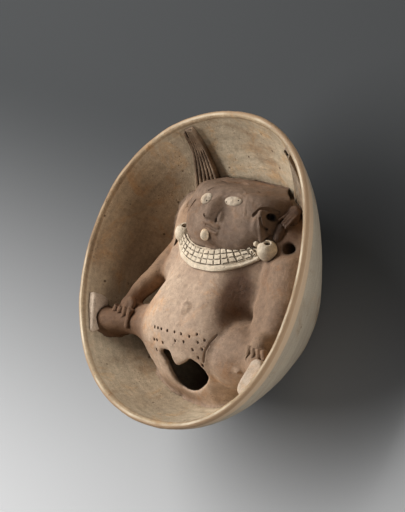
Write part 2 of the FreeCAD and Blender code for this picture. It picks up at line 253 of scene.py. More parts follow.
# The figure's body
bodySkin = {
    "coarse": 0.0018, "coarseRounds": 8, "fine": 0.0014, "fineRounds": 2,
    "holeRadius": 0.00115,
    # swellings of flank, wrist and shoulder: middle, then radius
    "mounds": ((0.50, 0.10, 0.43, 0.205), (0.52, 0.00, 0.43, 0.200), (0.53, -0.10, 0.46, 0.190),
               (0.56, -0.19, 0.52, 0.165), (0.60, -0.27, 0.60, 0.130), (0.655, -0.32, 0.755, 0.078),
               (-0.632, -0.300, 0.735, 0.058), (-0.428, 0.075, 0.500, 0.122), (-0.465, -0.015, 0.490, 0.120)),
    # the right arm: middle, then radius
    "arm": ((-0.505, 0.300, 0.37, 0.055), (-0.538, 0.178, 0.41, 0.080), (-0.580, 0.046, 0.47, 0.084),
            (-0.628, -0.098, 0.555, 0.070), (-0.650, -0.215, 0.660, 0.060), (-0.640, -0.295, 0.725, 0.052)),
    "navel": ((0.040, -0.245, 0.953), (0.0064, 0.0056, 0.0036)),
    # clay taken off the shoulder's edge: middle, then radius
    "bare": ((-0.490, 0.395, 0.640, 0.045), (-0.470, 0.440, 0.610, 0.050), (-0.430, 0.490, 0.580, 0.050)),
    "uneven": 0.0010, "unevenSize": 0.011,
    "holes": ((-0.195, -0.405), (-0.160, -0.405), (-0.125, -0.405), (-0.065, -0.405), (0.005, -0.400),
              (0.065, -0.400), (0.135, -0.400), (0.185, -0.375), (-0.210, -0.475), (-0.180, -0.475),
              (-0.120, -0.480), (0.010, -0.450), (0.090, -0.440), (0.195, -0.420), (0.235, -0.395),
              (-0.215, -0.530), (0.155, -0.470), (0.220, -0.450), (0.185, -0.505), (0.200, -0.540),
              (0.190, -0.580)),
    "holeDepth": 0.014, "holeRise": 0.002, "holeTaper": (0.8, 1.2),
    "ventRadius": 0.0052, "ventLow": 0.25, "ventHigh": 0.95,
    "vents": ((0.520, 0.270), (-0.490, 0.140)),
    # grooves drawn with a stick: path, radius, height of its middle above the skin
    "grooves": (
        (((0.29, -0.345), (0.265, -0.40), (0.235, -0.46), (0.215, -0.52)), 0.0012, 0.0002),
    ),
}


def balls(rows):
    # balls of clay from rows of x, y, z and radius, all in shares
    return [lump(spot(x, y, z), [share * bowl["rimRadius"]] * 3) for x, y, z, share in rows]


def makeBody(shell):
    mounds = balls(bodySkin["mounds"])
    places = [(spot(x, y, z), share * bowl["rimRadius"]) for x, y, z, share in bodySkin["arm"]]
    arm = [lump(place, (radius, radius, radius)) for place, radius in places]
    for (start, radius), (end, endRadius) in zip(places, places[1:]):
        arm.append(roll(start, end, radius, endRadius))
    body = joined(nodeCopies("torso", "left_leg", "right_leg", "left_arm", "front_tab")
                  + [underBowl()] + mounds + arm, "figureBody")
    worked(body, bodySkin["coarse"], bodySkin["coarseRounds"])
    cutAway(body, knife(balls(bodySkin["bare"]), 0.0008))
    middle, size = bodySkin["navel"]
    body = joined([body, lump(spot(*middle), size)] + nodeCopies("ankle_mark"), "figureBody")
    worked(body, bodySkin["fine"], bodySkin["fineRounds"])
    roughen(body, bodySkin["uneven"], bodySkin["unevenSize"])
    feeler = feelerOf(body)
    narrow, wide = [bodySkin["holeRadius"] * share for share in bodySkin["holeTaper"]]
    pins = []
    for x, y in bodySkin["holes"]:
        place, normal = onTop(feeler, x, y)
        tip = place - Vector((0, 0, bodySkin["holeDepth"]))
        pins.append(roll(tip, place + Vector((0, 0, bodySkin["holeRise"])), narrow, wide))
    for x, y in bodySkin["vents"]:
        low, high = spot(x, y, bodySkin["ventLow"]), spot(x, y, bodySkin["ventHigh"])
        pins.append(roll(low, high, bodySkin["ventRadius"]))
    cutAway(body, joined(pins, "pins"))
    lines = []
    for path, radius, rise in bodySkin["grooves"]:
        lines += rope(feeler, path, radius, rise)
    cutAway(body, knife(lines, 0.0004))
    cutAway(body, shell, keep=True)
    return mainLump(body)


# The head with its features pressed and pinched out of one skin
headSkin = {
    "coarse": 0.0014, "coarseRounds": 5, "fine": 0.0009, "fineRounds": 3,
    "uneven": 0.0008, "unevenSize": 0.008,
    "ridges": (  # path, radius, rise
        (((0.060, 0.545), (0.165, 0.515), (0.212, 0.480), (0.220, 0.430), (0.240, 0.385)),
         0.0015, -0.0008),
        (((0.030, 0.455), (0.060, 0.490), (0.105, 0.505), (0.165, 0.495)), 0.0012, -0.0006),
        (((-0.040, 0.290), (0.020, 0.285), (0.085, 0.272)), 0.0017, 0.0003),
        (((-0.030, 0.245), (0.030, 0.243), (0.080, 0.238)), 0.0015, 0.0001),
        (((0.070, 0.352), (0.078, 0.325)), 0.0034, -0.0012),
        (((0.339, 0.430), (0.362, 0.350), (0.355, 0.270)), 0.0030, -0.0004),
        (((0.385, 0.330), (0.400, 0.290), (0.390, 0.250)), 0.0018, 0.0002),
    ),
    # lobe of the left ear and the jaw: middle, then size
    "lumps": (((0.425, 0.340, 0.665), (0.0055, 0.0105, 0.0050)),
              ((-0.100, 0.172, 0.800), (0.0150, 0.0055, 0.0065)),
              ((0.020, 0.160, 0.805), (0.0150, 0.0050, 0.0060))),
    "trimLength": 0.12,
    # rolls that trim the crown along the line of sight: place at mid height, then radius
    "bare": ((-0.297, 0.719, 0.0175), (-0.168, 0.730, 0.0175), (0.310, 0.608, 0.0052), (0.350, 0.580, 0.0058),
             (0.395, 0.545, 0.0064), (0.430, 0.580, 0.0080)),
    # clay inside the thin crown: middle, then size
    "filler": (((0.220, 0.500, 0.500), (0.020, 0.014, 0.014)),
               ((0.200, 0.533, 0.655), (0.012, 0.006, 0.005))),
    "pad": ((0.432, 0.450), (0.0085, 0.0125, 0.0050)),
    "curlRadius": 0.0012, "curlRise": 0.0060,
    "curls": (
        ((0.385, 0.540), (0.402, 0.500), (0.412, 0.450), (0.410, 0.395)),
        ((0.405, 0.535), (0.424, 0.495), (0.435, 0.445), (0.433, 0.390)),
        ((0.425, 0.525), (0.446, 0.485), (0.457, 0.435), (0.455, 0.380)),
        ((0.445, 0.510), (0.467, 0.470), (0.478, 0.420), (0.476, 0.370)),
    ),
    "grooves": (  # path, radius, rise
        (((-0.010, 0.268), (0.022, 0.265), (0.077, 0.254)), 0.0014, 0.0006),
        (((-0.240, 0.400), (-0.285, 0.350), (-0.310, 0.310)), 0.0012, 0.0000),
        (((-0.138, 0.477), (-0.116, 0.502)), 0.0008, 0.0002),
        (((0.298, 0.405), (0.322, 0.445), (0.350, 0.462), (0.385, 0.460)), 0.0021, 0.0004),
        (((0.358, 0.395), (0.378, 0.350), (0.374, 0.290)), 0.0013, 0.0002),
    ),
    "nostrils": ((-0.012, 0.318), (0.058, 0.312)), "nostrilSize": (0.0016, 0.0022, 0.0022),
    "earHole": ((0.300, 0.422, 0.76), (0.500, 0.425, 0.76)), "earHoleRadius": 0.0029,
    "dip": ((-0.115, 0.600, 0.66), (0.0150, 0.0045, 0.0060), (0, 12, -12)),
}


def makeHead(shell, body):
    filler = [lump(spot(*middle), size) for middle, size in headSkin["filler"]]
    core = joined(nodeCopies("head", "left_ear", "right_ear", "nose") + [underBowl()] + filler, "core")
    worked(core, headSkin["coarse"], headSkin["coarseRounds"])
    half = sight * headSkin["trimLength"] / 2
    bare = [roll(spot(x, y, 0.5) - half, spot(x, y, 0.5) + half, radius) for x, y, radius in headSkin["bare"]]
    cutAway(core, knife(bare, 0.0009))
    feeler = feelerOf(core)
    extras = []
    for path, radius, rise in headSkin["ridges"]:
        extras += rope(feeler, path, radius, rise)
    under = feelerOf(body)
    place, normal = onTop(under, *headSkin["pad"][0])
    extras.append(lump(place, headSkin["pad"][1]))
    for middle, size in headSkin["lumps"]:
        extras.append(lump(spot(*middle), size))
    for path in headSkin["curls"]:
        extras += rope(under, path, headSkin["curlRadius"], headSkin["curlRise"])
    head = joined([core] + extras, "figureHead")
    worked(head, headSkin["fine"], headSkin["fineRounds"])
    roughen(head, headSkin["uneven"], headSkin["unevenSize"])
    feeler = feelerOf(head)
    lines = []
    for path, radius, rise in headSkin["grooves"]:
        lines += rope(feeler, path, radius, rise)
    for x, y in headSkin["nostrils"]:
        place, normal = onTop(feeler, x, y)
        lines.append(lump(place, headSkin["nostrilSize"]))
    start, end = headSkin["earHole"]
    lines.append(roll(spot(*start), spot(*end), headSkin["earHoleRadius"]))
    middle, size, turn = headSkin["dip"]
    lines.append(lump(spot(*middle), size, turn))
    cutAway(head, knife(lines, 0.0004))
    cutAway(head, shell, keep=True)
    cutAway(head, body, keep=True)
    return mainLump(head)


# Small clay pieces laid on
trims = {
    "pinSize": (0.0008, 0.0008, 0.0010), "pelletHeight": 0.0020,
    "eyeLeft": {"at": (0.115, 0.450), "size": (0.0104, 0.0044, 0.0024), "turn": 8, "pellet": 0.0034},
    "eyeRight": {"at": (-0.128, 0.425), "size": (0.0075, 0.0052, 0.0024), "turn": 20, "pellet": 0.0030},
}


def makeEye(name, feeler, settings, holes):
    place, normal = onTop(feeler, *settings["at"])
    base = lump((0, 0, 0), settings["size"])
    pellet = settings["pellet"]
    button = lump((0, 0, settings["size"][2] * 0.5), (pellet, pellet * 0.9, trims["pelletHeight"]))
    eye = joined([base, button], name)
    eye.rotation_euler = (0, 0, math.radians(settings["turn"]))
    selectOnly(eye)
    bpy.ops.object.transform_apply(location=True, rotation=True, scale=True)
    eye.rotation_mode = "QUATERNION"
    eye.rotation_quaternion = Vector((0, 0, 1)).rotation_difference(normal)
    eye.location = place
    bpy.ops.object.transform_apply(location=True, rotation=True, scale=True)
    worked(eye, 0.0004, 2)
    pins = []
    for x, y in holes:
        spotOn, up = onTop(feelerOf(eye), x, y)
        if spotOn:
            pins.append(lump(spotOn, trims["pinSize"]))
    if pins:
        cutAway(eye, knife(pins, 0.0003))
    return eye


collar = {
    "inner": ((-0.335, 0.235), (-0.305, 0.185), (-0.235, 0.155), (-0.145, 0.135), (-0.065, 0.130),
              (0.035, 0.142), (0.135, 0.170), (0.215, 0.191), (0.300, 0.220)),
    "outer": ((-0.410, 0.165), (-0.350, 0.100), (-0.270, 0.055), (-0.170, 0.025), (-0.080, 0.005),
              (0.015, 0.005), (0.110, 0.015), (0.185, 0.045), (0.270, 0.095), (0.355, 0.155), (0.385, 0.195)),
    "columns": 16, "rows": 3, "from": 0.02, "to": 0.73, "thick": 0.0022, "gap": 0.0001, "rounding": 0.0006,
    # how far a cell may be out: in size, in height and in turn
    "sizeSlack": 0.0003, "heightSlack": 0.0003, "turnSlack": 0.06,
    # lines drawn between the cells, and rolls along both edges: depth, radius, rise
    "line": 0.00062, "lineDepth": 0.0002, "lineSlack": 0.004,
    "rolls": ((0.90, 0.0019, 0.0010), (0.00, 0.0012, 0.0006)), "rollSteps": 24, "lineSteps": 40,
}


def along(path, share):
    # a place at a share of a path's length
    lengths = [math.dist(a, b) for a, b in zip(path, path[1:])]
    left = share * sum(lengths)
    for (a, b), length in zip(zip(path, path[1:]), lengths):
        if left <= length:
            break
        left -= length
    part = min(left / length, 1)
    return (a[0] + (b[0] - a[0]) * part, a[1] + (b[1] - a[1]) * part)


def acrossCollar(share, depth):
    a, b = along(collar["inner"], share), along(collar["outer"], share)
    return (a[0] + (b[0] - a[0]) * depth, a[1] + (b[1] - a[1]) * depth)


def collarCell(feeler, share, depth):
    # one cell of the collar, laid on the chest
    half = 0.5 / collar["columns"]
    place, normal = onTop(feeler, *acrossCollar(share, depth))
    ahead, normal = onTop(feeler, *acrossCollar(share + 0.02, depth))
    beyond, normal = onTop(feeler, *acrossCollar(share, depth + 0.1))
    length = math.dist(acrossCollar(share - half, depth), acrossCollar(share + half, depth))
    length *= bowl["rimRadius"]
    height = math.dist(acrossCollar(share, 0), acrossCollar(share, 1)) * bowl["rimRadius"]
    height *= (collar["to"] - collar["from"]) / collar["rows"]
    long = (ahead - place).normalized()
    up = long.cross((beyond - place).normalized()).normalized()
    if up.z < 0:
        up = -up
    wide = up.cross(long)
    bpy.ops.object.select_all(action="DESELECT")
    bpy.ops.mesh.primitive_cube_add(size=1)
    cell = bpy.context.object
    slack = collar["sizeSlack"]
    cell.scale = (length - collar["gap"] + random.uniform(-slack, slack * 2 / 3),
                  height - collar["gap"] * 0.8 + random.uniform(-slack, slack * 2 / 3), collar["thick"] * 2)
    bpy.ops.object.transform_apply(location=True, rotation=True, scale=True)
    inEditMode(cell, lambda: bpy.ops.mesh.bevel(offset=collar["rounding"], segments=2, affect="EDGES"))
    turn = Matrix((long, wide, up)).transposed().to_4x4()
    lift = 0.0012 + random.uniform(-collar["heightSlack"], collar["heightSlack"])
    askew = Matrix.Rotation(random.uniform(-collar["turnSlack"], collar["turnSlack"]), 4, "Z")
    cell.matrix_world = Matrix.Translation(place + up * lift) @ turn @ askew
    selectOnly(cell)
    bpy.ops.object.transform_apply(location=True, rotation=True, scale=True)
    return cell


def makeCollar(body, head):
    feeler = feelerOf(body)
    pieces = nodeCopies("bead_collar")
    width = collar["to"] - collar["from"]
    depths = [collar["from"] + width * j / collar["rows"] for j in range(collar["rows"] + 1)]
    for i in range(collar["columns"]):
        for above, below in zip(depths, depths[1:]):
            pieces.append(collarCell(feeler, (i + 0.5) / collar["columns"], (above + below) / 2))
    for depth, radius, rise in collar["rolls"]:
        steps = collar["rollSteps"]
        pieces += rope(feeler, [acrossCollar(i / steps, depth) for i in range(steps + 1)], radius, rise)
    band = joined(pieces, "beadCollar")
    worked(band, 0.00038, 1)
    feeler = feelerOf(band)
    steps = collar["lineSteps"]
    paths = [[acrossCollar(0.01 + 0.98 * i / steps, depth) for i in range(steps + 1)] for depth in depths]
    for i in range(collar["columns"] + 1):
        share = i / collar["columns"] + random.uniform(-collar["lineSlack"], collar["lineSlack"])
        share = min(max(share, 0.01), 0.99)
        paths.append([acrossCollar(share, depths[0] + (depths[-1] - depths[0]) * k / 6) for k in range(7)])
    lines = []
    for path in paths:
        lines += rope(feeler, path, collar["line"], -collar["lineDepth"])
    cutAway(band, knife(lines, 0.0003))
    cutAway(band, body, keep=True)
    cutAway(band, head, keep=True)
    return mainLump(band)


locks = {
    "left": {"low": ((0.350, 0.600), (0.545, 0.470)), "high": ((0.455, 0.860), (0.505, 0.860))},
    "right": {"low": ((-0.385, 0.585), (-0.550, 0.470)), "high": ((-0.425, 0.860), (-0.470, 0.860))},
    "ribs": 6, "steps": 12, "riseLow": 0.0040, "riseHigh": 0.0024,
    "plump": 0.54, "valley": 0.31, "valleyLift": 0.45, "top": 0.0905,
}


def blended(a, b, share):
    return (a[0] + (b[0] - a[0]) * share, a[1] + (b[1] - a[1]) * share)


def ribPath(side, share):
    low = blended(*locks[side]["low"], share)
    high = blended(*locks[side]["high"], share)
    return [blended(low, high, i / locks["steps"]) for i in range(locks["steps"] + 1)]


def ribRolls(side, share, feeler, plump, lift):
    rolls = []
    last = None
    for i, (x, y) in enumerate(ribPath(side, share)):
        part = i / locks["steps"]
        place, normal = onTop(feeler, x, y)
        if place.z > locks["top"]:
            break
        width = math.dist(blended(*locks[side]["low"], 0), blended(*locks[side]["low"], 1)) * (1 - part)
        width += math.dist(*locks[side]["high"]) * part
        radius = width * bowl["rimRadius"] / locks["ribs"] * plump
        at = place + normal * (locks["riseLow"] * (1 - part) + locks["riseHigh"] * part + lift * radius)
        if last:
            rolls.append(roll(last[0], at, last[1], radius))
        rolls.append(lump(at, (radius, radius, radius)))
        last = (at, radius)
    return rolls


def makeLock(side, name, shell):
    feeler = feelerOf(shell)
    clay = nodeCopies(side + "_hair_lock")
    for i in range(locks["ribs"]):
        clay += ribRolls(side, (i + 0.5) / locks["ribs"], feeler, locks["plump"], 0)
    lock = worked(joined(clay, name), 0.00045, 1)
    valleys = []
    for i in range(1, locks["ribs"]):
        valleys += ribRolls(side, i / locks["ribs"], feeler, locks["valley"], locks["valleyLift"])
    cutAway(lock, knife(valleys, 0.0003))
    cutAway(lock, shell, keep=True)
    return mainLump(lock)


def softCopy(nodeName, name, voxel, rounds, uneven=0.0006, size=0.012, cutters=()):
    piece = joined(nodeCopies(nodeName), name)
    worked(piece, voxel, rounds)
    roughen(piece, uneven, size)
    for cutter in cutters:
        cutAway(piece, cutter, keep=True)
    return mainLump(piece)


hands = {
    "left": {"root": (0.668, -0.350, 0.835), "turn": 6.0},
    "right": {"root": (-0.620, -0.340, 0.820), "turn": -22.0},
    "pitch": 0.043, "reach": 0.118, "fan": 7.0, "dip": 16.0, "groove": 0.0009, "lift": 0.0024,
}


def makeHand(side, name, body):
    hand = worked(joined(nodeCopies(side + "_hand"), name), 0.0007, 7)
    lines = []
    for gap in (-1, 0, 1):
        turn = math.radians(hands[side]["turn"] + gap * hands["fan"])
        aside = gap * hands["pitch"] * bowl["rimRadius"]
        start = spot(*hands[side]["root"]) + Vector((aside, 0, hands["lift"]))
        way = Vector((math.sin(turn), -math.cos(turn), -math.sin(math.radians(hands["dip"])))).normalized()
        end = start + way * hands["reach"] * bowl["rimRadius"]
        lines.append(roll(start - way * 0.002, end, hands["groove"] * 0.6, hands["groove"]))
    cutAway(hand, joined(lines, "lines"))
    cutAway(hand, body, keep=True)
    return mainLump(hand)


# Materials: short ways to add nodes to a tree
def put(tree, kind, inputs=None, **settings):
    node = tree.nodes.new(kind)
    for name, value in settings.items():
        setattr(node, name, value)
    for name, value in (inputs or {}).items():
        if isinstance(value, bpy.types.NodeSocket):
            tree.links.new(value, node.inputs[name])
        else:
            node.inputs[name].default_value = value
    return node


def blendOf(tree, factor, first, second, mode="MIX"):
    node = put(tree, "ShaderNodeMix", {0: factor, 6: first, 7: second}, data_type="RGBA", blend_type=mode)
    return node.outputs[2]


def toned(tree, factor, colour, tone):
    return blendOf(tree, factor, colour, (*tone, 1), "MULTIPLY")


def maths(tree, kind, *values, clamp=False):
    return put(tree, "ShaderNodeMath", dict(enumerate(values)), operation=kind, use_clamp=clamp).outputs[0]


def vectors(tree, kind, *values):
    return put(tree, "ShaderNodeVectorMath", dict(enumerate(values)), operation=kind).outputs


def scaled(tree, colour, share):
    return put(tree, "ShaderNodeVectorMath", {0: colour, "Scale": share}, operation="SCALE").outputs[0]


def ramp(tree, value, low, high):
    # a soft step from 0 at low to 1 at high
    node = put(tree, "ShaderNodeMapRange", {"Value": value, "From Min": low, "From Max": high},
               interpolation_type="SMOOTHSTEP")
    return node.outputs[0]


def inverse(tree, value):
    return maths(tree, "SUBTRACT", 1.0, value)


def stretched(tree, value, low, high, toLow, toHigh):
    return put(tree, "ShaderNodeMapRange", {"Value": value, "From Min": low, "From Max": high,
                                            "To Min": toLow, "To Max": toHigh}).outputs[0]


def noiseOf(tree, where, scale, detail, roughness=0.5, distortion=0.0):
    return put(tree, "ShaderNodeTexNoise", {"Vector": where, "Scale": scale, "Detail": detail,
                                            "Roughness": roughness, "Distortion": distortion}).outputs["Fac"]


def dotsOf(tree, where, scale, low, high):
    # small round dots, 1 in their middle
    cells = put(tree, "ShaderNodeTexVoronoi", {"Vector": where, "Scale": scale, "Randomness": 1.0})
    return inverse(tree, ramp(tree, cells.outputs["Distance"], low, high))


def nearness(tree, where, middle, reach, drift, sway, low, high):
    # 1 inside a cloud with a wavering edge
    away = vectors(tree, "SUBTRACT", where, middle)[0]
    away = vectors(tree, "DIVIDE", away, reach)[0]
    away = vectors(tree, "LENGTH", away)["Value"]
    away = maths(tree, "MULTIPLY_ADD", drift, sway, away)
    return inverse(tree, ramp(tree, away, low, high))


def newGroup(name, inputs, outputs):
    group = bpy.data.node_groups.new(name, "ShaderNodeTree")
    for label, kind, value in inputs:
        socket = group.interface.new_socket(name=label, in_out="INPUT", socket_type=kind)
        socket.default_value = value
    for label, kind in outputs:
        group.interface.new_socket(name=label, in_out="OUTPUT", socket_type=kind)
    return group, group.nodes.new("NodeGroupInput"), group.nodes.new("NodeGroupOutput")


def makeFiredClay():
    # the body colour of low-fired clay: patches, smudges, grain, specks and worn edges, with painted shade in
    # creases and hollows
    group, ins, outs = newGroup("firedClay", (
        ("Base", "NodeSocketColor", (0.4, 0.3, 0.2, 1)), ("Pale", "NodeSocketColor", (0.5, 0.4, 0.3, 1)),
        ("Dark", "NodeSocketColor", (0.2, 0.14, 0.1, 1)), ("PatchScale", "NodeSocketFloat", 20.0),
        ("DarkAmount", "NodeSocketFloat", 0.35), ("Specks", "NodeSocketFloat", 0.5),
        ("CreviceShade", "NodeSocketFloat", 0.6), ("Reach", "NodeSocketFloat", 0.0035)),
        (("Color", "NodeSocketColor"), ("Roughness", "NodeSocketFloat"), ("Height", "NodeSocketFloat")))
    given = ins.outputs
    dark = given["Dark"]
    where = put(group, "ShaderNodeTexCoord").outputs["Object"]
    patches = noiseOf(group, where, given["PatchScale"], 5.0, 0.62, 0.4)
    smudges = noiseOf(group, where, 52.0, 7.0, 0.7)
    grain = noiseOf(group, where, 900.0, 3.0, 0.6)
    mottle = noiseOf(group, where, 230.0, 4.0, 0.75)
    warm = noiseOf(group, where, 31.0, 6.0, 0.7, 1.0)
    colour = blendOf(group, ramp(group, patches, 0.36, 0.66), given["Base"], given["Pale"])
    reddish = toned(group, 1.0, colour, (1.06, 0.88, 0.70))
    colour = blendOf(group, ramp(group, warm, 0.50, 0.70), colour, reddish)
    darkMask = maths(group, "MULTIPLY", ramp(group, smudges, 0.5, 0.78), given["DarkAmount"])
    colour = blendOf(group, darkMask, colour, dark)
    rare = ramp(group, noiseOf(group, where, 75.0, 2.0), 0.5, 0.62)
    specks = maths(group, "MULTIPLY", dotsOf(group, where, 330.0, 0.10, 0.22), rare)
    colour = blendOf(group, maths(group, "MULTIPLY", specks, given["Specks"]), colour, dark)
    crease = put(group, "ShaderNodeNewGeometry").outputs["Pointiness"]
    corner = put(group, "ShaderNodeAmbientOcclusion", {"Distance": given["Reach"]}, samples=8).outputs["AO"]
    # painted shade: creases (by pointiness) and hollows (by ambient occlusion) are darkened towards the dark
    # colour
    for measure, low, high in ((crease, 0.40, 0.495), (corner, 0.25, 0.80)):
        hollowShade = inverse(group, ramp(group, measure, low, high))
        hollowShade = maths(group, "MULTIPLY", hollowShade, given["CreviceShade"], clamp=True)
        colour = blendOf(group, hollowShade, colour, dark)
    edge = maths(group, "MULTIPLY", ramp(group, crease, 0.51, 0.60), 0.45)
    colour = blendOf(group, edge, colour, given["Pale"])
    shade = maths(group, "MULTIPLY", stretched(group, grain, 0.3, 0.7, 0.90, 1.08),
                  stretched(group, mottle, 0.32, 0.68, 0.80, 1.17))
    group.links.new(scaled(group, colour, shade), outs.inputs["Color"])
    group.links.new(stretched(group, patches, 0.3, 0.7, 0.62, 0.82), outs.inputs["Roughness"])
    height = maths(group, "ADD", smudges, grain)
    height = maths(group, "SUBTRACT", height, specks)
    group.links.new(maths(group, "ADD", height, mottle), outs.inputs["Height"])
    return group


def makeTurning():
    # level streaks left by smoothing the wall by hand
    group, ins, outs = newGroup("turningStreaks", (("Fineness", "NodeSocketFloat", 260.0),),
                                (("Streak", "NodeSocketFloat"),))
    where = put(group, "ShaderNodeTexCoord").outputs["Object"]
    spread = put(group, "ShaderNodeSeparateXYZ", {0: where})
    x = maths(group, "MULTIPLY", spread.outputs["X"], 9.0)
    y = maths(group, "MULTIPLY", spread.outputs["Y"], 9.0)
    z = maths(group, "MULTIPLY", spread.outputs["Z"], ins.outputs["Fineness"])
    lined = put(group, "ShaderNodeCombineXYZ", {0: x, 1: y, 2: z}).outputs[0]
    group.links.new(noiseOf(group, lined, 1.0, 4.0, 0.6), outs.inputs["Streak"])
    return group


firedClay = makeFiredClay()
turning = makeTurning()
# the last tone darkens surfaces that face downwards: painted shade
surface = {"specular": 0.25, "relief": 0.0010, "undersideShade": (0.30, 0.25, 0.20)}


def newClay(name, values):
    # a material, its tree, its shader and the shared clay group with the given values
    clay = bpy.data.materials.new(name)
    clay.use_nodes = True
    tree = clay.node_tree
    shader = tree.nodes["Principled BSDF"]
    shader.inputs["Specular IOR Level"].default_value = surface["specular"]
    finish = put(tree, "ShaderNodeGroup", node_tree=firedClay)
    for label, value in values.items():
        finish.inputs[label].default_value = value
    return clay, tree, shader, finish.outputs


def wire(tree, shader, finish, colour, height, strength):
    tree.links.new(colour, shader.inputs["Base Color"])
    tree.links.new(finish["Roughness"], shader.inputs["Roughness"])
    relief = put(tree, "ShaderNodeBump", {"Height": height, "Strength": strength,
                                          "Distance": surface["relief"]})
    tree.links.new(relief.outputs["Normal"], shader.inputs["Normal"])


def clayMaterial(name, base, pale, dark, patchScale=20.0, darkAmount=0.35, specks=0.5, creviceShade=0.6, bump=0.6,
                 clouds=(), reach=0.0035):
    clay, tree, shader, finish = newClay(name, {
        "Base": (*base, 1), "Pale": (*pale, 1), "Dark": (*dark, 1), "PatchScale": patchScale,
        "DarkAmount": darkAmount, "Specks": specks, "CreviceShade": creviceShade, "Reach": reach})
    colour = finish["Color"]
    coords = put(tree, "ShaderNodeTexCoord").outputs
    if clouds:
        drift = noiseOf(tree, coords["Object"], 26.0, 5.0)
    # each patch darkens the colour by its tone; several patches are painted shade
    for middle, size, tone in clouds:
        near = nearness(tree, coords["Object"], middle, size, drift, 0.5, 0.85, 1.55)
        colour = toned(tree, near, colour, tone)
    # painted shade: surfaces that face downwards are darkened
    lying = put(tree, "ShaderNodeSeparateXYZ", {0: coords["Normal"]}).outputs["Z"]
    undersideShade = inverse(tree, ramp(tree, lying, -0.75, -0.25))
    colour = blendOf(tree, undersideShade, colour, toned(tree, 1.0, colour, surface["undersideShade"]))
    wire(tree, shader, finish, colour, finish["Height"], bump)
    return clay


def wallMaterial(name, inner, innerPale, innerDark, outer, lip, band, clouds):
    # inside and outside of the wall differ; the lip is ivory, partly worn slip and partly painted highlight,
    # with a reddish band below it outside
    clay, tree, shader, finish = newClay(name, {
        "Base": (*inner, 1), "Pale": (*innerPale, 1), "Dark": (*innerDark, 1), "PatchScale": 16.0,
        "DarkAmount": 0.30, "Specks": 0.75, "CreviceShade": 0.45})
    coords = put(tree, "ShaderNodeTexCoord").outputs
    where = coords["Object"]
    z = put(tree, "ShaderNodeSeparateXYZ", {0: where}).outputs["Z"]
    stains = noiseOf(tree, where, 24.0, 6.0, 0.65, 0.6)
    wander = noiseOf(tree, where, 30.0, 3.0)
    streak = put(tree, "ShaderNodeGroup", node_tree=turning).outputs["Streak"]

    # the outside faces away from the bowl's middle
    radial = vectors(tree, "MULTIPLY", where, (1.0, 1.0, 0.0))[0]
    radial = vectors(tree, "NORMALIZE", radial)[0]
    facing = vectors(tree, "DOT_PRODUCT", radial, coords["Normal"])["Value"]
    outside = ramp(tree, facing, -0.05, 0.25)
    colour = blendOf(tree, outside, finish["Color"], blendOf(tree, 0.75, finish["Color"], (*outer, 1)))
    colour = scaled(tree, colour, stretched(tree, streak, 0.3, 0.7, 0.86, 1.12))

    # stains and chips
    stainMask = maths(tree, "MULTIPLY", ramp(tree, stains, 0.52, 0.74), 0.65)
    colour = toned(tree, stainMask, colour, band)
    chips = maths(tree, "MULTIPLY", dotsOf(tree, where, 85.0, 0.06, 0.13), ramp(tree, stains, 0.46, 0.56))
    colour = blendOf(tree, chips, colour, (*innerDark, 1))

    # band, darker rim, and a pale lip on the rim's top that is partly wear and partly painted highlight
    level = maths(tree, "MULTIPLY_ADD", wander, 0.004, z)
    bandMask = maths(tree, "MULTIPLY", ramp(tree, level, 0.0855, 0.0885), outside)
    colour = blendOf(tree, bandMask, colour, (*band, 1))
    rimTone = maths(tree, "MULTIPLY", ramp(tree, z, 0.0925, 0.0940), 0.75)
    colour = blendOf(tree, rimTone, colour, toned(tree, 1.0, colour, (0.62, 0.53, 0.43)))
    # partly painted highlight: the upward-facing top of the lip is made pale
    crest = ramp(tree, put(tree, "ShaderNodeSeparateXYZ", {0: coords["Normal"]}).outputs["Z"], 0.93, 0.995)
    paleLipAndHighlight = maths(tree, "MULTIPLY", crest, ramp(tree, z, 0.0935, 0.0945))
    paleLipAndHighlight = maths(tree, "MULTIPLY", paleLipAndHighlight, stretched(tree, wander, 0.36, 0.60, 0.95, 0.10))
    colour = blendOf(tree, paleLipAndHighlight, colour, (*lip, 1))

    # painted shade: each patch darkens the wall by its tone
    for middle, reach, tone in clouds:
        colour = toned(tree, nearness(tree, where, middle, reach, stains, 0.6, 0.80, 1.70), colour, tone)
    height = maths(tree, "MULTIPLY_ADD", streak, 0.6, finish["Height"])
    height = maths(tree, "SUBTRACT", height, chips)
    wire(tree, shader, finish, colour, height, 0.6)
    return clay


# Stage, light and camera
# the floor's colour runs from a pale near tone to a near-black far tone: painted shade for the light's
# falloff
stage = {"size": 12, "near": -0.32, "far": 0.15, "nearTone": (0.48, 0.48, 0.48),
         "farShadeTone": (0.032, 0.034, 0.035)}


def makeStage():
    bpy.ops.object.select_all(action="DESELECT")
    bpy.ops.mesh.primitive_plane_add(size=stage["size"], location=(0, 0, 0))
    floor = bpy.context.object
    floor.name = "studioFloor"
    paint = bpy.data.materials.new("studioPaper")
    paint.use_nodes = True
    tree = paint.node_tree
    shader = tree.nodes["Principled BSDF"]
    where = put(tree, "ShaderNodeTexCoord").outputs["Object"]
    depth = put(tree, "ShaderNodeSeparateXYZ", {0: where}).outputs["Y"]
    # painted shade: darker with distance along the floor
    paintedFalloff = ramp(tree, depth, stage["near"], stage["far"])
    tone = blendOf(tree, paintedFalloff, (*stage["nearTone"], 1), (*stage["farShadeTone"], 1))
    tree.links.new(tone, shader.inputs["Base Color"])
    shader.inputs["Roughness"].default_value = 0.9
    floor.data.materials.append(paint)


